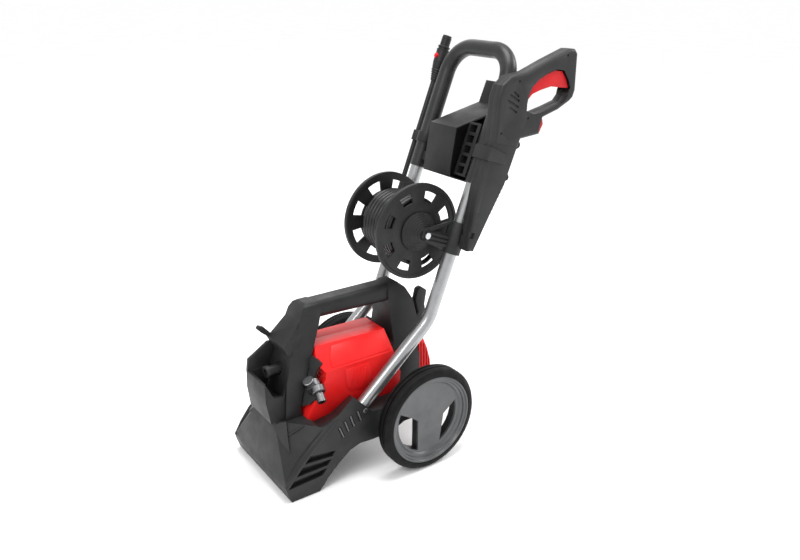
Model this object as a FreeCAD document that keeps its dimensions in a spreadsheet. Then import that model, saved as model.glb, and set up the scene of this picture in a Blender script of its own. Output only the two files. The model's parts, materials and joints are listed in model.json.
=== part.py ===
"""Pressure washer on a two-wheeled frame: a parametric FreeCAD document, in millimetres.

World frame: +Z up, +X to the side that carries the spray gun, -Y to the front (the nose), and the origin on
the ground under the middle of the machine's outline.  Outlines are given in (Y, Z), with Y counted from the
wheel axle.  Pieces on the leaning part of the frame are given in the lean frame: (V, U), where U runs up the
tubes from their bend and V points backwards, square to the tubes.
"""
import FreeCAD, Part
import math
import os

import Sketcher

App = FreeCAD
Vector = App.Vector

DIMS = {
    # whole machine
    "mid_y": 39.45,           # middle of the outline, behind the axle
    "lean": 21.5,             # backward lean of the upper tubes, degrees
    "bend_y": 55.7,           # tube bend, behind the axle
    "bend_z": 311.4,          # tube bend, above the ground
    "tube_x": 100.7,          # tube centre line, from the middle
    "tube_rad": 15.0,
    "tube_wall": 1.5,
    "tube_top": 372.0,        # upper end of the silver tube, inside the grip
    "tube_foot_v": -149.7,    # lower end of the tube, inside its socket
    "tube_foot_u": -290.5,
    "bend_rad": 90.0,
    # push handle grip
    "grip_rad": 18.0,
    "grip_low": 314.0,
    "grip_top": 601.0,
    "grip_corner": 62.0,
    # wheels
    "wheel_rad": 120.0,
    "wheel_in": 152.0,        # inner face of the tyre
    "wheel_out": 193.0,       # outer face of the tyre
    "axle_rad": 6.0,
    "axle_half": 170.8,
    # reel
    "reel_v": -76.5,
    "reel_u": 181.0,
    "flange_half": 63.0,      # outer face of a flange, from the middle
    "coupling_rad": 84.0,     # hose coupling, from the reel's pivot
    "reel_pin_rad": 5.0,
    "reel_pin_half": 97.0,
    # base, housing and handle
    "base_half": 127.5,
    "bay_half": 78.0,
    "house_half": 74.0,
    "bar_half": 26.0,
    "vent_deep": 12.0,
    "shoulder_side": 400.0,
    # accessory box
    "box_half": 46.0,
    "box_wall": 2.5,
    # spray gun and lance
    "gun_in": 123.0,          # inner face of the gun
    "gun_mid": 141.0,         # the seam of its two shells
    "gun_out": 159.0,
    "lance_x": -143.0,
    "lance_v": 3.0,
    # inside
    "motor_z": 190.0,
    "motor_room": 40.3,       # radius of the room for the motor in the rear column
    "cap_rad": 14.0,
    "pivot_head": 7.0,        # radius of a reel screw's head
    "shaft_rad": 7.0,
    "run_gap": 0.05,          # radial clearance of a running fit
    "seam": 0.05,             # half the gap between two shells
    "skin": 4.0,              # wall of the red shells at their sides
    "through": 800.0,         # longer than the machine, for cuts right through it
}

# Side outlines in (Y, Z), Y from the axle.
BASE_SIDE = [
    (-315, 1.5), (-248, 1.5), (-222, 31), (-197, 54), (-171, 74), (-145, 82), (-110, 80), (-60, 82),
    (-28, 96), (24, 96), (34, 120), (24, 146), (-60, 146), (-112, 150), (-160, 199), (-196, 170),
    (-232, 150), (-300, 150), (-308, 126), (-326, 39), (-323, 25),
]
BAY = [(-242, 106), (60, 106), (60, 230), (-242, 230)]
WALL_INNER = [(-237, 141), (-187, 148), (-135, 177), (-100, 205), (-100, 290), (-237, 290)]
WALL_OUTER = [(-237, 151), (-196, 171), (-160, 200), (-100, 250), (-100, 290), (-237, 290)]
VENTS = [
    [(-284, 82), (-214, 76), (-207, 87), (-272, 96)],
    [(-303, 58), (-226, 58), (-217, 70), (-290, 75)],
    [(-321, 34), (-240, 38), (-228, 52), (-308, 50)],
]
HOUSE_SIDE = [
    (-238, 112), (-60, 112), (-18, 143), (-4, 150), (-1, 188), (-20, 246), (-21, 287), (-196, 291),
    (-206, 262), (-192, 244), (-194, 226), (-218, 196), (-241, 145),
]
HOUSE_ROOM = [
    (-234, 116), (-62, 116), (-21, 146.5), (-8, 152), (-5, 188), (-24, 246), (-25, 283), (-193, 287),
    (-200, 262), (-188, 240), (-189, 226), (-212, 200), (-236, 145),
]
REAR_SIDE = [(62, 150), (96, 150), (101, 160), (99, 183), (90, 216), (79, 241), (62, 247)]
REAR_ROOM = [(60, 154), (94, 154), (97, 161), (95, 182), (86.5, 214), (76.5, 237), (60, 243)]

# Horizontal sections of the columns: height, front Y, rear Y, half width.
FRONT_COLUMN = [
    (112, -290, -237, 62), (130, -284, -240, 58), (170, -280, -246, 54), (230, -272, -227, 48),
    (290, -251, -202, 40), (340, -232, -181, 32), (368, -221, -173, 29), (380, -213, -176, 24),
    (385, -204, -184, 17),
]
REAR_COLUMN = [
    (147, -8, 62, 60), (200, -8, 63, 60), (236, -17, 66, 54), (252, -2, 67, 50), (300, -2, 69, 38),
    (340, -4, 60, 34), (370, -4, 42, 30), (384, 6, 26, 22),
]
CHIN = [(118, -307, -281, 58), (150, -314, -282, 50), (200, -321, -277, 46), (238, -320, -270, 44)]
CHEEK = [(-319, 225), (-320, 238), (-316, 264), (-268, 294), (-250, 290), (-268, 238), (-275, 225)]
PRONG = [
    (-262, 292), (-270, 308), (-284, 320), (-292, 329), (-287, 335), (-276, 330), (-264, 316),
    (-250, 298),
]
HOOD = [(289, -262, -240, 39), (308, -269, -232, 38), (342, -237, -222, 31), (356, -224, -215, 28)]
RIM_DIP = [(-330, 262), (-317, 238), (-302, 206), (-281, 202), (-262, 244), (-262, 262)]
HOOK = [
    (60, 252), (60, 274), (86, 274), (95, 286), (87, 318), (94, 345), (105, 349), (122, 336), (116, 302),
    (120, 282), (112, 260), (96, 252),
]

# Lean-frame outlines in (V, U).
GUN_BODY = [
    (-5, 174), (-30, 307), (-34, 363), (-32, 411), (-57, 492), (-57, 519), (-41, 543), (-17, 556), (-2, 564),
    (43, 603), (95, 645), (110, 650), (121, 644), (150, 572), (150, 556), (143, 545), (118, 519), (82, 492),
    (86, 456), (39, 433), (38, 409), (37, 332), (28, 283), (24, 260), (11, 176),
]
GUN_WINDOW = [
    (28, 491), (50, 490), (66, 497), (96, 517), (126, 539), (132, 554), (130, 565), (131, 573), (117, 586.5),
    (97, 599), (75, 594.5), (55, 580.5), (35, 561), (22, 540), (20, 522), (23, 504),
]
GUN_CAVITY = [
    (24, 505), (-6, 524), (-6, 556), (30, 578), (66, 608), (96, 618), (122, 606), (141, 576),
    (132, 560),
]
GUN_CHANNEL = [(0, 165), (16, 165), (16, 466), (0, 466)]
LOCK_SLOT = [(70, 463), (92, 463), (92, 486), (70, 486)]
GUN_SCREWS = [(-18, 540), (-22, 429), (38, 478), (-12, 258), (92, 630)]
TRIGGER = [
    (25, 512), (23, 522), (25, 538.5), (37, 559), (56.5, 578), (75.5, 592), (96.5, 596.5), (115.5, 584.5),
    (128.5, 570.5), (112, 566), (78, 558), (53, 543), (33, 528),
]
TRIGGER_PIVOT = (8, 540)

OUTLET_AIM = Vector(0.78, -0.12, -0.61)
SLOPE_AIM = (0.554, -0.62, 0.555)     # outward normal of the base's sloped corner, left side
SLOPE_FOOT = (-326, 39)               # where that slope meets the side face, (Y, Z)
HOUSE_SLOPE = (30, 239.2, 80, 295.9)  # the housing's sloped edge: inner X, lower Z, outer X, upper Z

doc = App.newDocument("pressure_washer")
sheet = doc.addObject("Spreadsheet::Sheet", "Dims")
pieces = []


def fill_sheet():
    """Write every driving dimension to its own cell, with its name as the alias."""
    for row, (name, value) in enumerate(DIMS.items(), start=1):
        sheet.set(f"A{row}", name)
        sheet.set(f"B{row}", str(value))
        sheet.setAlias(f"B{row}", name)
    doc.recompute()


def dim(name):
    """The value of one cell of the sheet."""
    return float(sheet.get(name))


def bind(thing, prop, formula):
    """Bind a property to the sheet: each word of the formula that names a cell gets the sheet's prefix."""
    for name in sorted(DIMS, key=len, reverse=True):
        formula = formula.replace(name, f"<<{list(DIMS).index(name)}>>")
    for index, name in enumerate(DIMS):
        formula = formula.replace(f"<<{index}>>", f"Dims.{name}")
    thing.setExpression(prop, formula)


def place(thing, x="0", y="0", z="0"):
    """Stand a piece upright, its own origin x, y, z from the point on the ground under the axle."""
    bind(thing, "Placement.Base.x", x)
    bind(thing, "Placement.Base.y", f"{y} - mid_y")
    bind(thing, "Placement.Base.z", z)
    return thing


def lean_point(thing, x, v, u):
    """Put a piece's own origin at x, v, u of the lean frame."""
    bind(thing, "Placement.Base.x", x)
    bind(thing, "Placement.Base.y", f"bend_y - mid_y + ({v}) * cos(lean * 1 deg) + ({u}) * sin(lean * 1 deg)")
    bind(thing, "Placement.Base.z", f"bend_z - ({v}) * sin(lean * 1 deg) + ({u}) * cos(lean * 1 deg)")
    return thing


def lean(thing, x="0", v="0", u="0"):
    """Lean a piece back with the tubes, its own origin at x, v, u of the lean frame."""
    thing.Placement = App.Placement(Vector(), App.Rotation(Vector(-1, 0, 0), dim("lean")))
    bind(thing, "Placement.Rotation.Angle", "lean * 1 deg")
    return lean_point(thing, x, v, u)


def lean_across(thing, x, v, u):
    """Lay a cylinder along +X, its start at x, v, u of the lean frame."""
    thing.Placement = App.Placement(Vector(), App.Rotation(Vector(0, 1, 0), 90))
    return lean_point(thing, x, v, u)


def lean_forward(thing, x, v, u):
    """Lay a cylinder forwards, square to the tubes, its start at x, v, u of the lean frame."""
    thing.Placement = App.Placement(Vector(), App.Rotation(Vector(1, 0, 0), 90 - dim("lean")))
    bind(thing, "Placement.Rotation.Angle", "90 deg - lean * 1 deg")
    return lean_point(thing, x, v, u)


def keep(thing, name):
    """Give a finished piece its name and put it on the list that is written out."""
    thing.Label = name
    pieces.append(thing)
    return thing


def made(name):
    """A piece that is already on the list."""
    return [piece for piece in pieces if piece.Label == name][0]


def new_body(name):
    """An empty PartDesign body."""
    return doc.addObject("PartDesign::Body", f"{name}_solid")


def sketch_on(body, plane, offset="0"):
    """A sketch on one of the body's own origin planes, moved along its normal."""
    sketch = body.newObject("Sketcher::SketchObject", f"{body.Name}_sketch")
    origin = [item for item in body.Origin.OriginFeatures if item.Role == plane][0]
    sketch.AttachmentSupport = [(origin, "")]
    sketch.MapMode = "FlatFace"
    bind(sketch, "AttachmentOffset.Base.z", offset)
    return sketch


def polygon(sketch, points):
    """A closed outline of straight lines."""
    first = sketch.GeometryCount
    count = len(points)
    for index in range(count):
        a, b = points[index], points[(index + 1) % count]
        sketch.addGeometry(Part.LineSegment(Vector(a[0], a[1], 0), Vector(b[0], b[1], 0)))
    for index in range(count):
        following = first + (index + 1) % count
        sketch.addConstraint(Sketcher.Constraint("Coincident", first + index, 2, following, 1))


def circle(sketch, a, b, radius):
    """A circle whose radius is bound to the sheet."""
    index = sketch.addGeometry(Part.Circle(Vector(a, b, 0), Vector(0, 0, 1), 1.0))
    datum = sketch.addConstraint(Sketcher.Constraint("Radius", index, 1.0))
    bind(sketch, f"Constraints[{datum}]", radius)


def pad(body, sketch, length, both=False):
    """Extrude a sketch along its normal, or half to each side."""
    feature = body.newObject("PartDesign::Pad", f"{body.Name}_pad")
    feature.Profile = sketch
    feature.Midplane = both
    bind(feature, "Length", length)
    doc.recompute()
    return feature


def pocket(body, sketch, length, both=False, towards=False):
    """Cut a sketch out of the body, and check that it took something away."""
    before = body.Shape.Volume
    feature = body.newObject("PartDesign::Pocket", f"{body.Name}_pocket")
    feature.Profile = sketch
    feature.Midplane = both
    feature.Reversed = towards
    bind(feature, "Length", length)
    doc.recompute()
    if body.Shape.Volume >= before - 1e-6:
        raise ValueError(f"{body.Name}: a pocket cut nothing")
    return feature


def slab(name, outline, start, thick, holes=()):
    """A plate with a side outline, from X = start and thick wide, with through holes of other outlines."""
    body = new_body(name)
    sketch = sketch_on(body, "YZ_Plane", start)
    polygon(sketch, outline)
    for hole in holes:
        polygon(sketch, hole)
    pad(body, sketch, thick)
    return body


def turned(name, profile, axis="H_Axis"):
    """A full turn of a profile in (X, radius) about X, or in (radius, Z) about Z with axis V_Axis."""
    body = new_body(name)
    sketch = sketch_on(body, "XZ_Plane")
    polygon(sketch, profile)
    feature = body.newObject("PartDesign::Revolution", f"{body.Name}_turn")
    feature.Profile = sketch
    feature.ReferenceAxis = (sketch, [axis])
    feature.Angle = 360
    doc.recompute()
    return body


def wedge(name, start, first, end, second):
    """A solid between two side outlines with as many points, at X = start and X = end."""
    body = new_body(name)
    sketches = []
    for offset, outline in ((start, first), (end, second)):
        sketch = sketch_on(body, "YZ_Plane", str(offset))
        polygon(sketch, outline)
        sketches.append(sketch)
    feature = body.newObject("PartDesign::AdditiveLoft", f"{name}_loft")
    feature.Profile = sketches[0]
    feature.Sections = sketches[1:]
    feature.Ruled = True
    doc.recompute()
    return body


def column(name, sections):
    """A column through horizontal rectangles, each with its height, front, rear and half width."""
    body = new_body(name)
    sketches = []
    for height, front, rear, half in sections:
        sketch = sketch_on(body, "XY_Plane", str(height))
        polygon(sketch, [(-half, front), (half, front), (half, rear), (-half, rear)])
        sketches.append(sketch)
    feature = body.newObject("PartDesign::AdditiveLoft", f"{name}_loft")
    feature.Profile = sketches[0]
    feature.Sections = sketches[1:]
    feature.Ruled = True
    doc.recompute()
    return body


def fillet(body, radius, wanted):
    """Round every edge of the body that the test picks."""
    base = body.Tip
    edges = [f"Edge{i}" for i, edge in enumerate(body.Shape.Edges, start=1) if wanted(edge)]
    feature = body.newObject("PartDesign::Fillet", f"{body.Name}_fillet")
    feature.Base = (base, edges)
    feature.Radius = radius
    doc.recompute()
    if not edges or "Invalid" in feature.State:
        raise ValueError(f"{body.Name}: a fillet of {len(edges)} edges failed")
    return feature


def cylinder(name, radius, height):
    """A Part cylinder along its own Z, sizes bound to the sheet."""
    thing = doc.addObject("Part::Cylinder", name)
    bind(thing, "Radius", radius)
    bind(thing, "Height", height)
    return thing


def box(name, length, width, height):
    """A Part box, sizes bound to the sheet."""
    thing = doc.addObject("Part::Box", name)
    bind(thing, "Length", length)
    bind(thing, "Width", width)
    bind(thing, "Height", height)
    return thing


def cut(base, *tools):
    """One piece less others."""
    for tool in tools:
        thing = doc.addObject("Part::Cut", f"{base.Name}_cut")
        thing.Base = base
        thing.Tool = tool
        base = thing
    doc.recompute()
    return base


def fuse(*things):
    """Several shapes made one solid."""
    thing = doc.addObject("Part::MultiFuse", f"{things[0].Name}_fuse")
    thing.Shapes = list(things)
    thing.Refine = True
    doc.recompute()
    return thing


SIDES = (("left", 1), ("right", -1))


def spans(sign, low, high):
    """Where a mirrored piece starts along X, and how thick it is, from its limits on the left side."""
    start = f"({low})" if sign > 0 else f"-({high})"
    return start, f"({high}) - ({low})"


def arc_points(radius, first, last, count):
    """Points along an arc about the origin, by its end angles in degrees."""
    step = (last - first) / (count - 1)
    angles = [math.radians(first + step * index) for index in range(count)]
    return [(radius * math.cos(angle), radius * math.sin(angle)) for angle in angles]


def across(thing, x="0", y="0", z="0"):
    """Lay a cylinder along +X, its start at x, y, z."""
    thing.Placement = App.Placement(Vector(), App.Rotation(Vector(0, 1, 0), 90))
    return place(thing, x, y, z)


def fore_aft(thing, x="0", y="0", z="0"):
    """Lay a cylinder along +Y, its start at x, y, z."""
    thing.Placement = App.Placement(Vector(), App.Rotation(Vector(1, 0, 0), -90))
    return place(thing, x, y, z)


def make_base():
    """The moulded base: foot, side walls, housing bay, tube sockets and vents."""
    body = slab("base", BASE_SIDE, "-base_half", "2 * base_half")
    bay = sketch_on(body, "YZ_Plane")
    polygon(bay, BAY)
    pocket(body, bay, "2 * bay_half", both=True)
    for sign in (1, -1):
        start, _ = spans(sign, "base_half - vent_deep", "base_half + 1")
        vents = sketch_on(body, "YZ_Plane", start)
        for outline in VENTS:
            polygon(vents, outline)
        pocket(body, vents, "vent_deep + 1", towards=True)
    place(body)
    pads = []
    for sign in (1, -1):
        pad_box = box("pad", "64", "54", "4")
        pads.append(place(pad_box, "50" if sign > 0 else "-114", "-309", "0"))
    feet = fuse(*pads)
    keep(feet, "foot_pads")
    tools = [feet]
    for sign in (1, -1):
        tools.append(place(wedge("wall_top", sign * 77.9, WALL_INNER, sign * 128, WALL_OUTER)))
    for sign in (1, -1):
        shoulder = box("shoulder", "shoulder_side", "shoulder_side", "shoulder_side")
        turn = App.Rotation(Vector(0, 0, 1), Vector(SLOPE_AIM[0] * sign, *SLOPE_AIM[1:]))
        corner = Vector(dim("base_half") * sign, SLOPE_FOOT[0] - dim("mid_y"), SLOPE_FOOT[1])
        half = dim("shoulder_side") / 2
        shoulder.Placement = App.Placement(corner + turn.multVec(Vector(-half, -half, 0)), turn)
        tools.append(shoulder)
        tools.append(tube_core("socket", sign, "tube_rad + 0.1", "0"))
    axle_hole = cylinder("axle_hole", "axle_rad + run_gap", "4 * base_half")
    tools.append(across(axle_hole, "-2 * base_half", "0", "wheel_rad"))
    return keep(cut(body, *tools), "base_shell")


def tube_core(name, sign, outer, inner):
    """A bent tube, or with an inner radius of 0 the solid rod that fills it."""
    body = new_body(name)
    foot_v, foot_u, bend = dim("tube_foot_v"), dim("tube_foot_u"), dim("bend_rad")
    turn = math.atan2(-foot_v, -foot_u)
    tangent = bend * math.tan(turn / 2)
    length = math.hypot(foot_v, foot_u)
    arc_end = (foot_v / length * tangent, foot_u / length * tangent)
    middle = (bend * math.cos(turn / 2) - bend, tangent - bend * math.sin(turn / 2))
    path = sketch_on(body, "YZ_Plane")
    path.addGeometry(Part.LineSegment(Vector(0, dim("tube_top"), 0), Vector(0, tangent, 0)))
    path.addGeometry(Part.Arc(Vector(0, tangent, 0), Vector(*middle, 0), Vector(*arc_end, 0)))
    path.addGeometry(Part.LineSegment(Vector(*arc_end, 0), Vector(foot_v, foot_u, 0)))
    ring = sketch_on(body, "XY_Plane", "tube_top")
    circle(ring, 0, 0, outer)
    if inner != "0":
        circle(ring, 0, 0, inner)
    doc.recompute()
    pipe = body.newObject("PartDesign::AdditivePipe", f"{name}_pipe")
    pipe.Profile = ring
    pipe.Spine = (path, ["Edge1", "Edge2", "Edge3"])
    doc.recompute()
    return lean(body, "tube_x" if sign > 0 else "-tube_x")


def make_frame():
    """The two silver tubes and the black U of the push handle."""
    for side, sign in SIDES:
        keep(tube_core(f"tube_{side}", sign, "tube_rad", "tube_rad - tube_wall"), f"frame_tube_{side}")
    body = new_body("grip")
    half, top, corner = dim("tube_x"), dim("grip_top"), dim("grip_corner")
    low = dim("grip_low")
    path = sketch_on(body, "XZ_Plane")
    bow = corner * (1 - math.cos(math.pi / 4))
    path.addGeometry(Part.LineSegment(Vector(half, low, 0), Vector(half, top - corner, 0)))
    for sign in (1, -1):
        path.addGeometry(Part.Arc(
            Vector(sign * half, top - corner, 0),
            Vector(sign * (half - bow), top - bow, 0),
            Vector(sign * (half - corner), top, 0),
        ))
        if sign > 0:
            path.addGeometry(Part.LineSegment(Vector(half - corner, top, 0), Vector(corner - half, top, 0)))
    path.addGeometry(Part.LineSegment(Vector(-half, top - corner, 0), Vector(-half, low, 0)))
    ring = sketch_on(body, "XY_Plane", "grip_low")
    circle(ring, half, 0, "grip_rad")
    circle(ring, half, 0, "tube_rad + 0.1")
    doc.recompute()
    pipe = body.newObject("PartDesign::AdditivePipe", "grip_pipe")
    pipe.Profile = ring
    pipe.Spine = (path, [f"Edge{index}" for index in (1, 2, 3, 4, 5)])
    doc.recompute()
    keep(lean(body), "handle_grip")


def make_wheels():
    """Axle, and on each side a tyre on a dished rim with two windows."""
    axle = cylinder("axle", "axle_rad", "2 * axle_half")
    keep(across(axle, "-axle_half", "0", "wheel_rad"), "wheel_axle")
    tyre = [(152, 103), (152.5, 111), (156, 117), (162, 120)]
    for groove in (166, 177):
        tyre += [(groove - 1.5, 120), (groove - 1, 116.5), (groove + 1, 116.5), (groove + 1.5, 120)]
    tyre += [(184, 119.4), (188.5, 116), (192, 110), (193, 103)]
    hub = dim("axle_rad") + dim("run_gap")
    rim = [
        (154, hub), (154, 18), (167, 20), (172, 28), (172, 82), (166, 88), (156, 92), (156, 102.7),
        (191, 102.7), (192.6, 101), (192.6, 97.5), (189, 96), (188, 92), (184, 91), (182.5, 86), (178.5, 83),
        (177, 79), (177, 0), (171, 0), (171, hub),
    ]
    front_window = [(-41, 11), (-26.5, -1), (-27, -73)] + arc_points(79, -112, -203, 12)
    rear_window = [(43, -5), (33, -70)] + arc_points(78, -64, 15, 10)
    for side, sign in SIDES:
        rubber = turned(f"tyre_{side}", [(sign * x, radius) for x, radius in tyre])
        keep(place(rubber, z="wheel_rad"), f"tyre_{side}")
        plate = turned(f"rim_{side}", [(sign * x, radius) for x, radius in rim])
        start, _ = spans(sign, "wheel_in", "wheel_out")
        windows = sketch_on(plate, "YZ_Plane", start)
        polygon(windows, front_window)
        polygon(windows, rear_window)
        pocket(plate, windows, "wheel_out - wheel_in", towards=True)
        keep(place(plate, z="wheel_rad"), f"rim_{side}")


def make_reel():
    """Drum, two windowed flanges with cones, pivot pin, wound hose and its coupling."""
    where = {"v": "reel_v", "u": "reel_u"}
    drum = turned("drum", [(-57.9, 46), (-57.9, 50.5), (57.9, 50.5), (57.9, 46)])
    keep(lean(drum, **where), "reel_drum")
    coil = turned("coil", [(-57.5, 50.8), (-57.5, 73), (57.5, 73), (57.5, 50.8)])
    keep(lean(coil, **where), "hose_coil")
    pin = cylinder("reel_pin", "reel_pin_rad", "2 * reel_pin_half")
    keep(lean_across(pin, "-reel_pin_half", "reel_v", "reel_u"), "reel_axle")
    sleeve = turned("coupling", [(3, -24), (9, -24), (9, 8), (7, 10), (7, 22), (3, 22)], "V_Axis")
    keep(lean(sleeve, "40", "reel_v + coupling_rad", "reel_u"), "hose_coupling")
    flange = [(58, 30), (58, 97), (57, 99), (57, 106), (66, 106), (66, 100), (63, 98), (63, 30)]
    bore = dim("reel_pin_rad") + dim("run_gap")
    cone = [(63, 37), (63, 43), (67, 43), (90, 13), (93, 13), (93, bore), (84, bore), (84, 9)]
    for side, sign in SIDES:
        disc = turned(f"flange_{side}", [(sign * x, radius) for x, radius in flange])
        start, _ = spans(sign, "flange_half - 8", "flange_half + 5")
        windows = sketch_on(disc, "YZ_Plane", start)
        for index in range(8):
            middle = 45 * index - 3.5
            outer = arc_points(89, middle - 11, middle + 11, 4)
            inner = arc_points(66, middle + 10, middle - 10, 3)
            polygon(windows, outer + inner)
        pocket(disc, windows, "13", towards=True)
        keep(lean(disc, **where), f"reel_flange_{side}")
        hub = turned(f"cone_{side}", [(sign * x, radius) for x, radius in cone])
        keep(lean(hub, **where), f"reel_cone_{side}")


def make_reel_brackets():
    """On each side an arm from a clamp round the tube to the reel's pivot."""
    arm_side = [
        (-90, 174), (-90, 188), (-82, 196), (-20, 226), (-12, 226), (-12, 160), (-20, 158), (-80, 168),
    ]
    arm_gap = [(-70, 193), (-26, 215), (-26, 196)]
    for side, sign in SIDES:
        start, thick = spans(sign, "93.5", "99.5")
        arm = slab(f"arm_{side}", arm_side, start, thick, [arm_gap])
        lean(arm)
        clamp = turned(f"clamp_{side}", [(14, 156), (14, 226), (20.5, 226), (20.5, 156)], "V_Axis")
        lean(clamp, "tube_x" if sign > 0 else "-tube_x")
        ribs = []
        for index in range(3):
            low = 166 + 9 * index
            edge, wide = spans(sign, "99.4", "104")
            rib_side = [(-84, low + 4), (-84, low + 7), (-14, low + 7), (-14, low)]
            ribs.append(lean(slab(f"rib_{side}_{index}", rib_side, edge, wide)))
        tube = cylinder(f"clamp_bore_{side}", "tube_rad + 0.1", "200")
        lean(tube, "tube_x" if sign > 0 else "-tube_x", "0", "100")
        pin = cylinder(f"arm_bore_{side}", "reel_pin_rad + run_gap", "60")
        lean_across(pin, "70" if sign > 0 else "-130", "reel_v", "reel_u")
        head = cylinder(f"head_room_{side}", "pivot_head + 1", "20")
        lean_across(head, "99.5" if sign > 0 else "-119.5", "reel_v", "reel_u")
        keep(cut(fuse(arm, clamp, *ribs), tube, pin, head), f"reel_bracket_{side}")


def make_handle_and_nose():
    """Carry handle with its two columns, and the chin of the nose with its far cheek."""
    front = column("front_column", FRONT_COLUMN)
    rear = column("rear_column", REAR_COLUMN)
    bar = slab("bar", [(-200, 347), (-192, 384), (16, 384), (16, 341)], "-bar_half", "2 * bar_half")
    fillet(bar, 14, lambda edge: abs(edge.tangentAt(edge.FirstParameter).x) < 0.1 and edge.Length > 150)
    handle = fuse(place(front), place(rear), place(bar))
    base_tool = box("handle_foot", "400", "900", "200")
    place(base_tool, "-200", "-450", "-50")
    motor_room = fore_aft(cylinder("motor_room", "motor_room", "150"), "0", "-80", "motor_z")
    inlet_room = fore_aft(cylinder("inlet_room", "14.4", "80"), "0", "-328", "246")
    keep(cut(handle, base_tool, motor_room, inlet_room), "carry_handle")
    chin = place(column("chin", CHIN))
    cheek = place(slab("cheek", CHEEK, "-46", "8"))
    prong = place(slab("prong", PRONG, "-46", "11"))
    hood = place(column("hood", HOOD))
    dip = place(slab("rim_dip", RIM_DIP, "35", "30"))
    mouth = place(box("mouth", "72", "80", "70"), "-36", "-314", "190")
    keep(cut(fuse(chin, cheek, prong, hood), base_tool, mouth, dip, front), "nose_cowl")
    hook = place(slab("hook", HOOK, "-8", "16"))
    keep(cut(hook, rear), "cable_hook")


def house_block(name, outline, sign, half, lower=0):
    """One side of the housing or of its hollow: a slab with its upper corner sloped off, lower if asked."""
    start, thick = spans(sign, "seam", half)
    body = slab(name, outline, start, thick)
    corner = sketch_on(body, "XZ_Plane")
    inner, low, outer, high = HOUSE_SLOPE
    outside = [(inner, high - lower), (outer, low - lower), (90, low - lower), (90, 300), (inner, 300)]
    polygon(corner, [(sign * x, z) for x, z in outside])
    pocket(body, corner, "through", both=True)
    return place(body)


def make_housing():
    """The two red shells with their hollow inside, and the ribbed rear cover."""
    for side, sign in SIDES:
        shell = house_block(f"housing_{side}", HOUSE_SIDE, sign, "house_half")
        hollow = house_block(f"house_room_{side}", HOUSE_ROOM, sign, "house_half - skin", 5.3)
        motor = fore_aft(cylinder("motor_clear", "motor_room", "150"), "0", "-80", "motor_z")
        tools = [hollow, motor, made("carry_handle")]
        if sign > 0:
            tools.append(outlet_along(cylinder("outlet_room", "15.6", "60")))
        keep(cut(shell, *tools), f"housing_{side}")
    cover = slab("rear_cover", REAR_SIDE, "-58", "116")
    fillet(cover, 9, lambda edge: abs(abs(edge.CenterOfMass.x) - 58) < 0.1 and 65 < edge.CenterOfMass.y)
    hollow = sketch_on(cover, "YZ_Plane")
    polygon(hollow, REAR_ROOM)
    pocket(cover, hollow, "109", both=True)
    room = fore_aft(cylinder("cover_room", "motor_room", "40"), "0", "45", "motor_z")
    keep(cut(place(cover), made("carry_handle"), room), "motor_rear_cover")


def outlet_along(thing):
    """Set a turned piece on the axis of the water outlet."""
    thing.Placement = App.Placement(Vector(), App.Rotation(Vector(0, 0, 1), OUTLET_AIM))
    return place(thing, "58", "-212", "226")


def make_fittings():
    """Water inlet, outlet with its nut, cable gland, switch knob."""
    inlet_side = [
        (0, -14), (14, -14), (14, 0), (11, 0), (11, 26), (13, 26), (13, 34), (7, 34), (7, 0), (0, 0),
    ]
    inlet = turned("inlet", inlet_side, "V_Axis")
    inlet.Placement = App.Placement(Vector(), App.Rotation(Vector(1, 0, 0), 90))
    keep(place(inlet, "0", "-263", "246"), "inlet_connector")
    outlet_side = [
        (0, 0), (10, 0), (10, 14), (8, 14), (8, 34), (9.5, 34), (9.5, 52), (5, 52), (5, 20), (0, 20),
    ]
    keep(outlet_along(turned("outlet", outlet_side, "V_Axis")), "outlet_fitting")
    nut_side = [(8.1, 15), (14, 15), (15, 17), (15, 29), (14, 31), (8.1, 31)]
    keep(outlet_along(turned("nut", nut_side, "V_Axis")), "outlet_nut")
    gland = turned("gland", [(4, 0), (13, 0), (13, 5), (9, 7), (8, 26), (4, 26)], "V_Axis")
    gland.Placement = App.Placement(Vector(), App.Rotation(Vector(0, 1, 0), -90))
    keep(place(gland, "-58", "82", "180"), "cable_gland")
    knob = turned("knob", [(-74.4, 0), (-74.4, 19), (-84, 18), (-90, 16), (-92, 13), (-92, 0)])
    grip = place(box("knob_grip", "8", "34", "9"), "-99", "-147", "217.5")
    keep(fuse(place(knob, "0", "-130", "222"), grip), "switch_knob")


def turned_fore(name, profile):
    """A full turn of a profile in (radius, Y) about the motor's shaft, Y from the axle."""
    thing = turned(name, profile, "V_Axis")
    thing.Placement = App.Placement(Vector(), App.Rotation(Vector(1, 0, 0), -90))
    return place(thing, "0", "0", "motor_z")


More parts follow.
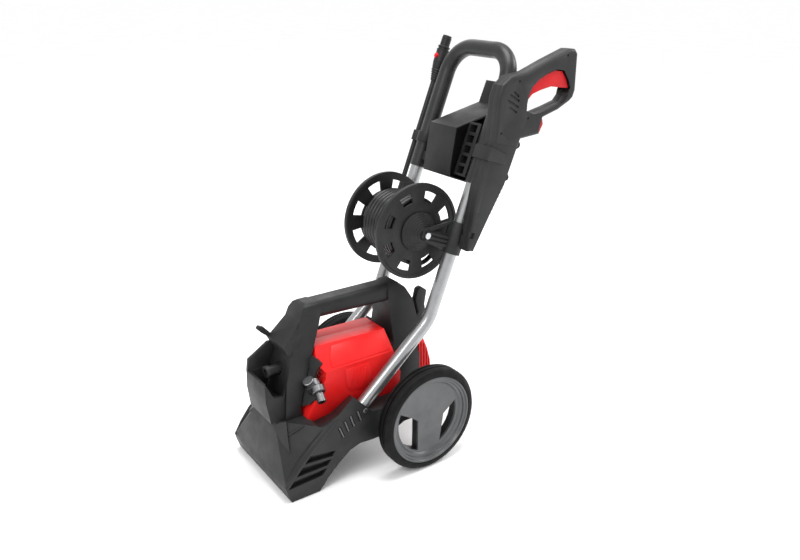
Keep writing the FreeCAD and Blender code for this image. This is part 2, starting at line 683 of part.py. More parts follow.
def make_inside():
    """Motor, fan, pump with its wobble plate and pistons, and the capacitor."""
    keep(turned_fore("stator", [(24, -68), (40, -68), (40, 42), (24, 42)]), "motor_stator")
    rotor_side = [(0, -84), (7, -84), (7, -60), (23.4, -60), (23.4, 34), (7, 34), (7, 68), (0, 68)]
    keep(turned_fore("rotor", rotor_side), "motor_rotor")
    keep(make_fan(), "cooling_fan")
    keep(make_wobble_plate(), "wobble_plate")
    pump_side = [
        (0, -166), (34, -166), (34, -108), (40, -108), (40, -68.1), (36, -68.1), (36, -102), (0, -102),
    ]
    bores = []
    for index in range(3):
        angle = math.radians(90 + 120 * index)
        x = f"{18 * math.cos(angle):.3f}"
        z = f"motor_z + {18 * math.sin(angle):.3f}"
        bores.append(fore_aft(cylinder(f"pump_bore_{index}", "6 + run_gap", "60"), x, "-150", z))
        piston = fore_aft(cylinder(f"piston_{index}", "6", "46"), x, "-138", z)
        keep(piston, f"piston_{index + 1}")
    keep(cut(turned_fore("pump", pump_side), *bores), "pump_body")
    capacitor = fore_aft(cylinder("capacitor", "cap_rad", "60"), "0", "-87", "motor_z + motor_room + cap_rad")
    keep(capacitor, "capacitor")


def make_fan():
    """Hub and six blades on the rear end of the motor's shaft."""
    hub = fore_aft(cylinder("fan_hub", "12", "12"), "0", "52.5", "motor_z")
    blades = []
    for index in range(6):
        blade = box(f"blade_{index}", "14", "10", "1.6")
        turn = App.Rotation(Vector(0, 1, 0), 60 * index)
        start = turn.multVec(Vector(11, 0, -0.8)) + Vector(0, 53.5 - dim("mid_y"), dim("motor_z"))
        blade.Placement = App.Placement(start, turn)
        blades.append(blade)
    bore = fore_aft(cylinder("fan_bore", "shaft_rad", "40"), "0", "40", "motor_z")
    return cut(fuse(hub, *blades), bore)


def make_wobble_plate():
    """The slanted disc on the front end of the shaft that drives the pistons."""
    plate = fore_aft(cylinder("wobble", "30", "14"), "0", "-88", "motor_z")
    slope = box("slope", "100", "20", "100")
    turn = App.Rotation(Vector(1, 0, 0), -9)
    centre = Vector(-50, -88 - dim("mid_y"), dim("motor_z"))
    slope.Placement = App.Placement(centre + turn.multVec(Vector(0, -15.5, -50)), turn)
    shaft = fore_aft(cylinder("wobble_bore", "shaft_rad", "60"), "0", "-84", "motor_z")
    return cut(plate, slope, shaft)


def make_accessory_box():
    """The open-sided box between the tubes, its back plate, and the nozzle rack."""
    outside = [(-25, 312), (75, 312), (75, 499), (-46, 417)]
    inside = [(-22, 314.5), (72.5, 314.5), (72.5, 494), (-43, 415)]
    tray = slab("tray", outside, "-box_half", "2 * box_half")
    opening = sketch_on(tray, "YZ_Plane", "-box_half + box_wall")
    polygon(opening, inside)
    pocket(tray, opening, "2 * box_half", towards=True)
    plate = slab("back_plate", [(71, 490), (75, 499), (76, 549), (72.5, 549)], "-44", "88")
    lugs = []
    for low in (332, 400):
        lug = slab(f"lug_{low}", [(-8, low), (8, low), (8, low + 20), (-8, low + 20)], "-84.5", "39")
        lugs.append(lean(lug))
    sleeve = lean(cylinder("sleeve_clear", "grip_rad + 0.1", "400"), "-tube_x", "0", "250")
    keep(cut(fuse(lean(tray), lean(plate), *lugs), sleeve), "accessory_box")
    rack = slab("rack", [(-14, 322), (14, 322), (14, 440), (-14, 440)], "box_half", "38")
    tools = [
        lean(cylinder("rack_clear", "grip_rad + 0.1", "400"), "tube_x", "0", "250"),
        lean(cylinder("ring_clear", "21.9", "32"), "tube_x", "0", "366"),
    ]
    for index in range(5):
        low = 327 + 23 * index
        cell = slab(f"cell_{index}", [(-20, low), (8, low), (8, low + 16), (-20, low + 16)], "52", "22")
        tools.append(lean(cell))
    keep(cut(lean(rack), *tools), "nozzle_rack")


def make_gun():
    """Gun shells, valve tube, screws, trigger with pin and spring, lock, pegs and the holder on the grip."""
    for side, sign in SIDES:
        low, high = ("gun_mid + seam", "gun_out") if sign > 0 else ("gun_in", "gun_mid - seam")
        shell = slab(f"gun_{side}", GUN_BODY, low, f"{high} - ({low})")
        face = dim("gun_out") if sign > 0 else dim("gun_in")
        fillet(shell, 7, lambda edge: abs(edge.CenterOfMass.x - face) < 0.1)
        gap = sketch_on(shell, "YZ_Plane", "gun_in - 5")
        polygon(gap, GUN_WINDOW)
        pocket(shell, gap, "gun_out - gun_in + 10", towards=True)
        for outline in (GUN_CAVITY, GUN_CHANNEL):
            room = sketch_on(shell, "YZ_Plane", "gun_mid - 16")
            polygon(room, outline)
            pocket(shell, room, "32", towards=True)
        slot = sketch_on(shell, "YZ_Plane", "gun_mid - 9")
        polygon(slot, LOCK_SLOT)
        pocket(shell, slot, "18", towards=True)
        bores = sketch_on(shell, "YZ_Plane", "gun_in + 3")
        for v, u in GUN_SCREWS:
            circle(bores, v, u, "2.6")
        pocket(shell, bores, "gun_out - gun_in", towards=True)
        keep(lean(shell), f"gun_shell_{side}")
    shanks = []
    for index, (v, u) in enumerate(GUN_SCREWS):
        shank = cylinder(f"shank_{index}", "2.5", "gun_out - gun_in - 5")
        shanks.append(lean_across(shank, "gun_in + 3.5", f"{v}", f"{u}"))
    keep(fuse(*shanks), "gun_screws")
    barrel = turned("gun_barrel", [(3, 182), (6.5, 182), (6.5, 462), (3, 462)], "V_Axis")
    keep(lean(barrel, "gun_mid", "8"), "gun_barrel")
    trigger = slab("trigger", TRIGGER, "gun_mid - 13", "26")
    lever = slab("lever", [(0, 531), (0, 549), (32, 558), (30, 526)], "gun_mid - 7", "14")
    pivot = [f"{value}" for value in TRIGGER_PIVOT]
    pin_hole = lean_across(cylinder("pin_hole", "2.5 + run_gap", "60"), "gun_mid - 30", *pivot)
    keep(cut(fuse(lean(trigger), lean(lever)), pin_hole), "trigger")
    keep(lean_across(cylinder("pin", "2.5", "31.8"), "gun_mid - 15.9", *pivot), "trigger_pin")
    spring = turned("spring", [(3, 0), (5, 0), (5, 14), (3, 14)], "V_Axis")
    keep(lean(spring, "gun_mid", "84", "597"), "trigger_spring")
    head = slab("lock_head", [(86, 460), (92, 458), (95, 480), (89, 489), (82.8, 489.5)], "gun_mid - 9", "18")
    stem = slab("lock_stem", [(72, 465), (88, 465), (86, 484), (72, 484)], "gun_mid - 5", "10")
    keep(fuse(lean(head), lean(stem)), "gun_lock")
    pegs = []
    for v, u in ((46, 420), (44, 348)):
        for start, radius, length in ((-6, 7, 12), (-1, 10, 2)):
            peg = cylinder(f"peg_{u}_{radius}", f"{radius}", f"{length}")
            pegs.append(lean_across(peg, f"gun_mid + {start}", f"{v}", f"{u}"))
    keep(cut(fuse(*pegs), made("gun_shell_left"), made("gun_shell_right")), "gun_pegs")
    ring = turned("holder_ring", [(18.1, 368), (18.1, 396), (21.5, 396), (21.5, 368)], "V_Axis")
    lean(ring, "tube_x")
    front = lean(slab("holder_front", [(-41, 368), (-41, 396), (-36.5, 396), (-36.5, 368)], "116", "48"))
    web = lean(slab("holder_web", [(-40, 368), (-40, 396), (-8, 396), (-8, 368)], "116", "5"))
    outer = lean(slab("holder_outer", [(-41, 368), (-41, 396), (16, 392), (16, 372)], "gun_out + 0.6", "4.4"))
    bore = lean(cylinder("holder_bore", "18.1", "100"), "tube_x", "0", "330")
    keep(cut(fuse(ring, front, web, outer), bore), "gun_holder")


def make_lance():
    """Lance tube, body, button and turning nozzle, and the clip that holds it to the far tube."""
    where = {"x": "lance_x", "v": "lance_v"}
    tube = [
        (3, 190), (6.1, 190), (6.1, 196), (5, 197), (5, 200), (6.1, 201), (6.1, 208), (6, 209), (6, 518),
        (3, 518),
    ]
    keep(lean(turned("lance", tube, "V_Axis"), **where), "lance_tube")
    body = [(6.1, 514), (7.5, 514), (10, 530), (13, 545), (15, 560), (14.5, 584), (6.1, 584)]
    well = lean_forward(cylinder("button_well", "6.3", "30"), "lance_x", "lance_v - 7", "571")
    keep(cut(lean(turned("lance_body", body, "V_Axis"), **where), well), "lance_body")
    nozzle = [
        (3, 584.4), (14.5, 584.4), (15, 588), (12.5, 589), (12.5, 592), (14.5, 593), (14, 596), (11, 598),
        (10.5, 621), (3, 621),
    ]
    keep(lean(turned("lance_nozzle", nozzle, "V_Axis"), **where), "lance_nozzle")
    keep(lean_forward(cylinder("button", "6", "7"), "lance_x", "lance_v - 10.5", "571"), "lance_button")
    ring_side = [(18.1, 370), (18.1, 394), (21.5, 394), (21.5, 370)]
    ring = lean(turned("clip_ring", ring_side, "V_Axis"), "-tube_x")
    cup_side = [(6.4, 370), (6.4, 394), (10, 394), (10, 370)]
    cup = lean(turned("clip_cup", cup_side, "V_Axis"), **where)
    web = lean(slab("clip_web", [(-4, 370), (8, 370), (8, 394), (-4, 394)], "-136", "18"))
    hole = lean(cylinder("clip_hole", "6.4", "100"), "lance_x", "lance_v", "330")
    sleeve = lean(cylinder("clip_sleeve", "18.1", "100"), "-tube_x", "0", "330")
    keep(cut(fuse(ring, cup, web), hole, sleeve), "lance_clip")


def make_screws():
    """Screws that hold the grip to the tubes and the tubes to the base, and the reel's pivot screws."""
    bolts = []
    for sign in (1, -1):
        side = "tube_x" if sign > 0 else "-tube_x"
        head = f"{side} + grip_rad" if sign > 0 else f"{side} - grip_rad - 2.5"
        bolts.append(lean_across(cylinder("grip_screw", "4.5", "2.5"), head, "0", "338"))
    keep(fuse(*bolts), "frame_screws")
    bolts = []
    for sign in (1, -1):
        head = "reel_pin_half + 2.6" if sign > 0 else "-reel_pin_half - 5.6"
        bolts.append(lean_across(cylinder("pivot_screw", "pivot_head", "3"), head, "reel_v", "reel_u"))
    keep(fuse(*bolts), "reel_screws")


def write_out():
    """Check every object, then write one STEP file for each piece."""
    doc.recompute()
    for item in doc.Objects:
        if "Invalid" in item.State or "Error" in item.State:
            raise ValueError(f"{item.Label}: {item.State}")
    for piece in pieces:
        if piece.Shape.isNull() or not piece.Shape.isValid():
            raise ValueError(f"{piece.Label}: bad shape")
    os.makedirs("parts", exist_ok=True)
    for piece in pieces:
        piece.Shape.exportStep(f"parts/{piece.Label}.step")
    print(f"{len(pieces)} pieces written")


def main():
    """Build every piece, check it, and write it out."""
    fill_sheet()
    make_base()
    make_frame()
    make_wheels()
    make_reel()
    make_reel_brackets()
    make_handle_and_nose()
    make_housing()
    make_fittings()
    make_inside()
    make_accessory_box()
    make_gun()
    make_lance()
    make_screws()
    write_out()


main()
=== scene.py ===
"""Pressure washer: camera, lights, materials, rounded mouldings, details and the wound hose."""
import json
import math

import bmesh
import bpy
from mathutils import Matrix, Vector


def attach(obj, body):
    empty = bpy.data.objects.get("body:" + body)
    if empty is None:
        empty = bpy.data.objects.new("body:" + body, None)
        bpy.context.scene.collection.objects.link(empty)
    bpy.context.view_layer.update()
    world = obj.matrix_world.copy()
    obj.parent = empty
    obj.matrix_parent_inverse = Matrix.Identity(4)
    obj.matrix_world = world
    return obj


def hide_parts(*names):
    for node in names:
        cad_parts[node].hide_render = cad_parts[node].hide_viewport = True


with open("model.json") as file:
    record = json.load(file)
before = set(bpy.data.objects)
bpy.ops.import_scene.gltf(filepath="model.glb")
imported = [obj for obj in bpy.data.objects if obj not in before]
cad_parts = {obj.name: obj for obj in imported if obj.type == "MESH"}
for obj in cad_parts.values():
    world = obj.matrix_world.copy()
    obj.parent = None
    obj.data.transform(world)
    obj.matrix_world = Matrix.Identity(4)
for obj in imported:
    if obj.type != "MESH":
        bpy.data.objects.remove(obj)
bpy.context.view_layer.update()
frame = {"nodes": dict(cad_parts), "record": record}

nodes = frame["nodes"]

MM = 0.001
MID = 0.03945                       # middle of the outline, behind the wheel axle
LEAN = math.radians(21.5)
ACROSS = Vector((1, 0, 0))
UP = Vector((0, math.sin(LEAN), math.cos(LEAN)))      # up the leaning tubes
BACK = Vector((0, math.cos(LEAN), -math.sin(LEAN)))   # square to them, to the rear
BEND = Vector((0, 0.0557 - MID, 0.3114))


def lean_at(x, v, u):
    """A place in the lean frame, in millimetres, as a point in the row frame."""
    return BEND + (ACROSS * x + BACK * v + UP * u) * MM


def axle_at(x, y, z):
    """A place counted from the ground under the axle, in millimetres, as a point in the row frame."""
    return Vector((x * MM, y * MM - MID, z * MM))


REEL_V, REEL_U = -76.5, 181
REEL = lean_at(0, REEL_V, REEL_U)
WHEEL_RADIUS = 120
SIDES = (("left", 1), ("right", -1))


# ---------------------------------------------------------------- camera, light, floor

CAMERA_PLACE = (1.35396, -0.90332 - MID, 1.03218)
CAMERA_DIP, CAMERA_HEADING = 21.645, 54.862
LIGHTS = [
    ("key", (1.2, -2.2, 2.6), 0.4, 1.2, 26), ("fill", (-2.2, 1.0, 1.6), 0.4, 1.8, 9),
    ("rim", (0.8, 2.6, 2.0), 0.5, 1.4, 34), ("top", (0.1, 0.1, 3.0), 0.3, 1.6, 62),
]
WORLD_STRENGTH = 1.04
FLOOR_HALF = 30.0


def make_camera():
    """The camera, placed as the object is seen."""
    data = bpy.data.cameras.new("camera")
    data.lens = 35.18
    data.sensor_width = 36.0
    camera = bpy.data.objects.new("camera", data)
    bpy.context.collection.objects.link(camera)
    camera.location = CAMERA_PLACE
    camera.rotation_euler = (math.radians(90 - CAMERA_DIP), 0, math.radians(CAMERA_HEADING))
    bpy.context.scene.camera = camera


def area_light(name, place, aim_height, size, power):
    """A round lamp that looks at a height above the middle of the floor."""
    data = bpy.data.lights.new(name, "AREA")
    data.shape = "DISK"
    data.size = size
    data.energy = power
    light = bpy.data.objects.new(name, data)
    bpy.context.collection.objects.link(light)
    light.location = place
    light.rotation_euler = (Vector((0, 0, aim_height)) - Vector(place)).to_track_quat("-Z", "Y").to_euler()


def make_studio():
    """Lamps, white surroundings and a paper floor."""
    bpy.context.scene.view_settings.view_transform = "Standard"
    for light in LIGHTS:
        area_light(*light)
    world = bpy.data.worlds.new("studio")
    bpy.context.scene.world = world
    world.use_nodes = True
    back = world.node_tree.nodes["Background"]
    back.inputs["Color"].default_value = (1, 1, 1, 1)
    back.inputs["Strength"].default_value = WORLD_STRENGTH
    mesh = bpy.data.meshes.new("floor")
    corners = [(FLOOR_HALF * a, FLOOR_HALF * b, 0) for a, b in ((-1, -1), (1, -1), (1, 1), (-1, 1))]
    mesh.from_pydata(corners, [], [(0, 1, 2, 3)])
    floor = bpy.data.objects.new("floor", mesh)
    bpy.context.collection.objects.link(floor)
    paper = new_material("floor_paper", (0.93, 0.93, 0.93), 0.8)
    mottle(paper, 3.0, (0.94, 0.94, 0.94), (0.97, 0.97, 0.97))
    bump(paper, noise(paper, 400, 2.0, 0.5), 0.05, 0.0002)
    mesh.materials.append(paper["material"])


# ---------------------------------------------------------------- materials

def new_material(name, colour, rough, metal=0.0):
    """A principled material, and the parts that the detail functions need."""
    material = bpy.data.materials.new(name)
    material.use_nodes = True
    tree = material.node_tree
    shader = tree.nodes["Principled BSDF"]
    shader.inputs["Base Color"].default_value = (*colour, 1)
    shader.inputs["Roughness"].default_value = rough
    shader.inputs["Metallic"].default_value = metal
    place = tree.nodes.new("ShaderNodeTexCoord")
    return {"material": material, "tree": tree, "shader": shader, "place": place, "last_bump": None}


def noise(kit, scale, detail=3.0, rough=0.55, stretch=None):
    """Noise in the object's own space, per metre, stretched along axes if asked."""
    tree = kit["tree"]
    texture = tree.nodes.new("ShaderNodeTexNoise")
    texture.inputs["Scale"].default_value = scale
    texture.inputs["Detail"].default_value = detail
    texture.inputs["Roughness"].default_value = rough
    if stretch:
        mapping = tree.nodes.new("ShaderNodeMapping")
        mapping.inputs["Scale"].default_value = stretch
        tree.links.new(kit["place"].outputs["Object"], mapping.inputs["Vector"])
        tree.links.new(mapping.outputs["Vector"], texture.inputs["Vector"])
    else:
        tree.links.new(kit["place"].outputs["Object"], texture.inputs["Vector"])
    return texture.outputs["Fac"]


def ramp(kit, value, low, high):
    """A colour ramp between two colours, over the middle of the value's range."""
    tree = kit["tree"]
    node = tree.nodes.new("ShaderNodeValToRGB")
    node.color_ramp.elements[0].position = 0.35
    node.color_ramp.elements[0].color = (*low, 1)
    node.color_ramp.elements[1].position = 0.65
    node.color_ramp.elements[1].color = (*high, 1)
    tree.links.new(value, node.inputs["Fac"])
    return node.outputs["Color"]


def mottle(kit, scale, low, high, stretch=None):
    """Soft colour variation."""
    colour = ramp(kit, noise(kit, scale, 4.0, 0.6, stretch), low, high)
    kit["tree"].links.new(colour, kit["shader"].inputs["Base Color"])
    kit["colour"] = colour


def uneven_gloss(kit, scale, low, high, stretch=None):
    """Roughness that varies over the surface."""
    tree = kit["tree"]
    node = tree.nodes.new("ShaderNodeMapRange")
    node.inputs["From Min"].default_value = 0.3
    node.inputs["From Max"].default_value = 0.7
    node.inputs["To Min"].default_value = low
    node.inputs["To Max"].default_value = high
    tree.links.new(noise(kit, scale, 4.0, 0.6, stretch), node.inputs["Value"])
    tree.links.new(node.outputs["Result"], kit["shader"].inputs["Roughness"])


def bump(kit, height, strength, distance):
    """Surface relief, on top of any that is already there."""
    tree = kit["tree"]
    node = tree.nodes.new("ShaderNodeBump")
    node.inputs["Strength"].default_value = strength
    node.inputs["Distance"].default_value = distance
    tree.links.new(height, node.inputs["Height"])
    if kit["last_bump"]:
        tree.links.new(kit["last_bump"], node.inputs["Normal"])
    tree.links.new(node.outputs["Normal"], kit["shader"].inputs["Normal"])
    kit["last_bump"] = node.outputs["Normal"]


def painted_edge_highlight(kit, colour):
    """Painted highlight: edges made lighter in colour where the surface is pointy."""
    tree = kit["tree"]
    geometry = tree.nodes.new("ShaderNodeNewGeometry")
    edge = tree.nodes.new("ShaderNodeMapRange")
    edge.inputs["From Min"].default_value = 0.55
    edge.inputs["From Max"].default_value = 0.66
    edge.inputs["To Max"].default_value = 0.2
    tree.links.new(geometry.outputs["Pointiness"], edge.inputs["Value"])
    mix = tree.nodes.new("ShaderNodeMix")
    mix.data_type = "RGBA"
    tree.links.new(edge.outputs["Result"], mix.inputs["Factor"])
    tree.links.new(kit["colour"], mix.inputs["A"])
    mix.inputs["B"].default_value = (*colour, 1)
    tree.links.new(mix.outputs["Result"], kit["shader"].inputs["Base Color"])


def moulded(name, dark, light, rough=(0.42, 0.56), edge_highlight=None):
    """Moulded plastic: fine grain, slow colour change and, if asked, a painted highlight that lightens the
    edges.
    """
    kit = new_material(name, light, rough[0])
    kit["shader"].inputs["Specular IOR Level"].default_value = 0.3
    mottle(kit, 14, dark, light)
    uneven_gloss(kit, 30, *rough)
    bump(kit, noise(kit, 1400, 2.0, 0.5), 0.35, 0.00006)
    bump(kit, noise(kit, 60, 3.0, 0.5), 0.05, 0.0003)
    if edge_highlight:
        painted_edge_highlight(kit, edge_highlight)
    return kit["material"]


def brushed(name, dark, light, rough=(0.22, 0.38), stretch=(40, 40, 1)):
    """Metal with fine lines one way."""
    kit = new_material(name, light, rough[0], 1.0)
    mottle(kit, 22, dark, light, stretch)
    uneven_gloss(kit, 40, *rough, stretch=stretch)
    bump(kit, noise(kit, 90, 3.0, 0.6, stretch), 0.08, 0.00005)
    return kit["material"]


def calculate(kit, operation, first, second=None):
    """One step of arithmetic on node outputs or numbers."""
    tree = kit["tree"]
    node = tree.nodes.new("ShaderNodeMath")
    node.operation = operation
    for place, value in zip(node.inputs, (first, second)):
        if value is None:
            continue
        if isinstance(value, (int, float)):
            place.default_value = value
        else:
            tree.links.new(value, place)
    return node.outputs[0]


def ring_height(kit, centre, rings):
    """Ridges in rings round the X axis through a centre, so many to a metre."""
    tree = kit["tree"]
    split = tree.nodes.new("ShaderNodeSeparateXYZ")
    tree.links.new(kit["place"].outputs["Object"], split.inputs["Vector"])
    squares = []
    for name, value in (("Y", centre[1]), ("Z", centre[2])):
        shifted = calculate(kit, "SUBTRACT", split.outputs[name], value)
        squares.append(calculate(kit, "MULTIPLY", shifted, shifted))
    radius = calculate(kit, "SQRT", calculate(kit, "ADD", *squares))
    return calculate(kit, "SINE", calculate(kit, "MULTIPLY", radius, rings * 2 * math.pi))


def make_materials():
    """One material for each slot of the record."""
    made = {}
    # The lighter edge colours of the black and gun plastics are a painted highlight.
    made["black_plastic"] = moulded("black_plastic", (0.0075, 0.0077, 0.0082), (0.0135, 0.0138, 0.0145),
                                    edge_highlight=(0.055, 0.056, 0.058))
    made["gun_plastic"] = moulded("gun_plastic", (0.012, 0.0122, 0.013), (0.019, 0.0194, 0.0205),
                                  edge_highlight=(0.065, 0.066, 0.069))
    red = new_material("red_plastic", (0.72, 0.014, 0.011), 0.34)
    mottle(red, 9, (0.63, 0.008, 0.010), (0.71, 0.015, 0.013))
    uneven_gloss(red, 24, 0.32, 0.42)
    bump(red, noise(red, 420, 2.0, 0.5), 0.12, 0.00012)
    bump(red, noise(red, 30, 2.0, 0.5), 0.08, 0.0006)
    red["shader"].inputs["Specular IOR Level"].default_value = 0.22
    made["red_plastic"] = red["material"]
    trim = new_material("red_trim", (0.74, 0.012, 0.016), 0.32)
    trim["shader"].inputs["Specular IOR Level"].default_value = 0.25
    mottle(trim, 30, (0.45, 0.005, 0.009), (0.54, 0.010, 0.014))
    uneven_gloss(trim, 60, 0.26, 0.38)
    bump(trim, noise(trim, 900, 2.0, 0.5), 0.2, 0.00006)
    made["red_trim"] = trim["material"]
    tube = new_material("silver_tube", (0.33, 0.335, 0.34), 0.3, 0.85)
    mottle(tube, 60, (0.315, 0.32, 0.325), (0.345, 0.35, 0.355))
    uneven_gloss(tube, 90, 0.27, 0.30)
    bump(tube, noise(tube, 900, 3.0, 0.6), 0.08, 0.00004)
    tube["shader"].inputs["Coat Weight"].default_value = 0.3
    tube["shader"].inputs["Coat Roughness"].default_value = 0.1
    made["silver_tube"] = tube["material"]
    grip = new_material("black_grip", (0.014, 0.014, 0.015), 0.4)
    grip["shader"].inputs["Specular IOR Level"].default_value = 0.35
    mottle(grip, 24, (0.010, 0.0102, 0.011), (0.017, 0.0174, 0.0185))
    uneven_gloss(grip, 40, 0.32, 0.44)
    bump(grip, noise(grip, 1100, 3.0, 0.6), 0.3, 0.00007)
    made["black_grip"] = grip["material"]
    tyre = new_material("tyre_rubber", (0.003, 0.003, 0.003), 0.62)
    tyre["shader"].inputs["Specular IOR Level"].default_value = 0.14
    mottle(tyre, 45, (0.002, 0.002, 0.002), (0.005, 0.005, 0.0053))
    uneven_gloss(tyre, 50, 0.5, 0.72)
    bump(tyre, noise(tyre, 800, 3.0, 0.6), 0.3, 0.0001)
    bump(tyre, ring_height(tyre, axle_at(0, 0, WHEEL_RADIUS), 380), 0.25, 0.00018)
    made["tyre_rubber"] = tyre["material"]
    rim = new_material("rim_plastic", (0.072, 0.074, 0.076), 0.36)
    mottle(rim, 20, (0.060, 0.062, 0.064), (0.084, 0.086, 0.089))
    uneven_gloss(rim, 50, 0.3, 0.42)
    bump(rim, noise(rim, 1300, 2.0, 0.5), 0.25, 0.00005)
    rim["shader"].inputs["Metallic"].default_value = 0.25
    made["rim_plastic"] = rim["material"]
    hose = new_material("hose_rubber", (0.010, 0.010, 0.0105), 0.34)
    hose["shader"].inputs["Specular IOR Level"].default_value = 0.4
    mottle(hose, 70, (0.006, 0.006, 0.0065), (0.013, 0.013, 0.014))
    uneven_gloss(hose, 60, 0.26, 0.42)
    bump(hose, noise(hose, 600, 3.0, 0.6), 0.2, 0.0001)
    made["hose_rubber"] = hose["material"]
    made["foot_rubber"] = moulded("foot_rubber", (0.014, 0.014, 0.014), (0.026, 0.026, 0.026), (0.6, 0.8))
    made["steel"] = brushed("steel", (0.42, 0.43, 0.45), (0.62, 0.63, 0.65))
    made["dark_metal"] = brushed("dark_metal", (0.10, 0.10, 0.105), (0.22, 0.22, 0.225), (0.28, 0.42))
    made["motor_iron"] = brushed("motor_iron", (0.12, 0.12, 0.125), (0.24, 0.24, 0.245), (0.45, 0.6))
    made["pump_alloy"] = brushed("pump_alloy", (0.48, 0.49, 0.50), (0.64, 0.65, 0.66), (0.4, 0.55), (1, 1, 1))
    made["valve_brass"] = brushed("valve_brass", (0.55, 0.36, 0.12), (0.74, 0.52, 0.22))
    made["fan_plastic"] = moulded("fan_plastic", (0.38, 0.38, 0.36), (0.52, 0.52, 0.50))
    return made


# ---------------------------------------------------------------- mesh helpers

def link(name, mesh, body, slot):
    """A new piece on a body, in the material of a slot."""
    piece = bpy.data.objects.new(name, mesh)
    bpy.context.collection.objects.link(piece)
    mesh.materials.append(MATERIALS[slot])
    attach(piece, body)
    return piece


def apply_modifiers(piece):
    """Bake a piece's modifiers into its mesh."""
    graph = bpy.context.evaluated_depsgraph_get()
    mesh = bpy.data.meshes.new_from_object(piece.evaluated_get(graph))
    piece.modifiers.clear()
    piece.data = mesh


def smooth(mesh, angle):
    """Smooth shading, with edges sharper than the angle left crisp."""
    mesh.shade_smooth()
    work = bmesh.new()
    work.from_mesh(mesh)
    for edge in work.edges:
        if len(edge.link_faces) == 2:
            edge.smooth = edge.calc_face_angle(0) < math.radians(angle)
        else:
            edge.smooth = False
    work.to_mesh(mesh)
    work.free()


def soften(node, width, cutters=(), slot=None):
    """A copy of a CAD node with cuts and rounded edges, which stands for it."""
    source = nodes[node]
    mesh = source.data.copy()
    mesh.name = f"{node}_shape"
    work = bmesh.new()
    work.from_mesh(mesh)
    bmesh.ops.remove_doubles(work, verts=work.verts, dist=0.00002)
    bmesh.ops.dissolve_limit(work, angle_limit=math.radians(1.0), verts=work.verts, edges=work.edges)
    work.to_mesh(mesh)
    work.free()
    name = f"{node}_moulding"
    piece = bpy.data.objects.new(name, mesh)
    bpy.context.collection.objects.link(piece)
    piece.matrix_world = source.matrix_world
    for index, tool in enumerate(cutters):
        boolean = piece.modifiers.new(f"cut_{index}", "BOOLEAN")
        boolean.operation = "DIFFERENCE"
        boolean.solver = "EXACT"
        boolean.object = tool
    rounding = piece.modifiers.new("rounding", "BEVEL")
    rounding.width = width
    rounding.segments = 3
    rounding.limit_method = "ANGLE"
    rounding.angle_limit = math.radians(28)
    rounding.use_clamp_overlap = True
    rounding.harden_normals = False
    apply_modifiers(piece)
    smooth(piece.data, 40)
    slot = slot or SLOT_OF[node]
    piece.data.materials.clear()
    piece.data.materials.append(MATERIALS[slot])
    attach(piece, BODY_OF[node])
    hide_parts(node)
    for tool in cutters:
        bpy.data.objects.remove(tool)


def ring_mesh(name, sections, closed_ends=True):
    """A skin through rings of points that all have as many points."""
    count = len(sections[0])
    points = [tuple(point) for ring in sections for point in ring]
    faces = []
    for k in range(len(sections) - 1):
        for i in range(count):
            j = (i + 1) % count
            faces.append((k * count + i, k * count + j, (k + 1) * count + j, (k + 1) * count + i))
    if closed_ends:
        faces.append(tuple(reversed(range(count))))
        faces.append(tuple((len(sections) - 1) * count + i for i in range(count)))
    mesh = bpy.data.meshes.new(name)
    mesh.from_pydata(points, [], faces)
    work = bmesh.new()
    work.from_mesh(mesh)
    bmesh.ops.recalc_face_normals(work, faces=work.faces)
    work.to_mesh(mesh)
    work.free()
    return mesh


def revolve(name, profile, start, axis, count=48):
    """A turned piece: (radius, height) in millimetres, closed, along an axis from a start."""
    axis = Vector(axis).normalized()
    side = axis.orthogonal().normalized()
    other = axis.cross(side)
    rings = []
    for radius, height in profile:
        ring = []
        for i in range(count):
            turn = 2 * math.pi * i / count
            out = side * math.cos(turn) + other * math.sin(turn)
            ring.append(start + (axis * height + out * radius) * MM)
        rings.append(ring)
    mesh = ring_mesh(name, rings)
    smooth(mesh, 32)
    return mesh


def plate(name, outline, low, high, place, rounding):
    """A plate between two X values, with its outline in millimetres, set down by a placing function."""
    rings = [[place(x, a, b) for a, b in outline] for x in (low, high)]
    mesh = ring_mesh(name, rings)
    if rounding:
        piece = bpy.data.objects.new(name, mesh)
        bpy.context.collection.objects.link(piece)
        edge = piece.modifiers.new("rounding", "BEVEL")
        edge.width = rounding
        edge.segments = 2
        edge.limit_method = "ANGLE"
        edge.angle_limit = math.radians(30)
        apply_modifiers(piece)
        mesh = piece.data
        bpy.data.objects.remove(piece)
    smooth(mesh, 40)
    return mesh


def cutter(name, outline, low, high, place):
    """A plate that only cuts."""
    mesh = plate(name, outline, low, high, place, 0)
    piece = bpy.data.objects.new(name, mesh)
    bpy.context.collection.objects.link(piece)
    return piece


def join_meshes(name, meshes):
    """Several meshes as one."""
    work = bmesh.new()
    for mesh in meshes:
        work.from_mesh(mesh)
    out = bpy.data.meshes.new(name)
    work.to_mesh(out)
    work.free()
    smooth(out, 40)
    return out


# ---------------------------------------------------------------- hose

CLIMB = [(50.6, 69.2, -84), (48.4, 75.9, -71), (45.6, 84.5, -57), (42.8, 89.1, -43), (40.8, 89.5, -29.5)]
COUPLING = [lean_at(40, 7.5, REEL_U - low) for low in (24, 16)]
INSIDE = 0.981                      # the curve's radius over that of its control points
HOSE_DIAMETER = 0.011


